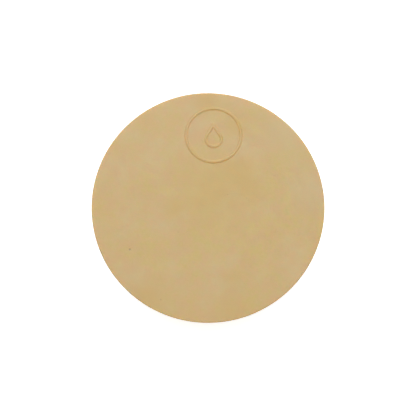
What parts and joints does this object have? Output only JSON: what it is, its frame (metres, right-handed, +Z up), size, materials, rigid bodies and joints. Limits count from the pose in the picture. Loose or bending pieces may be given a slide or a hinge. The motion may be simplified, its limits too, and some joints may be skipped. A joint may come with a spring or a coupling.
{
  "type": "shaving soap puck",
  "caption": "Flat round puck of hard shaving soap with crisp edges and a small raised ring-and-drop mark near the edge of its upper face, made to sit in a shaving bowl.",
  "frame": {"origin": "centre of the underside, on the surface that the puck rests on", "axes": "+Z up through the marked face, +Y from the centre towards the raised mark, +X to the right as the mark is read"},
  "size_m": [0.075, 0.075, 0.0223],
  "materials": {
    "soap": "satin"
  },
  "bodies": {
    "root": {"soap_puck": "soap"}
  },
  "joints": []
}
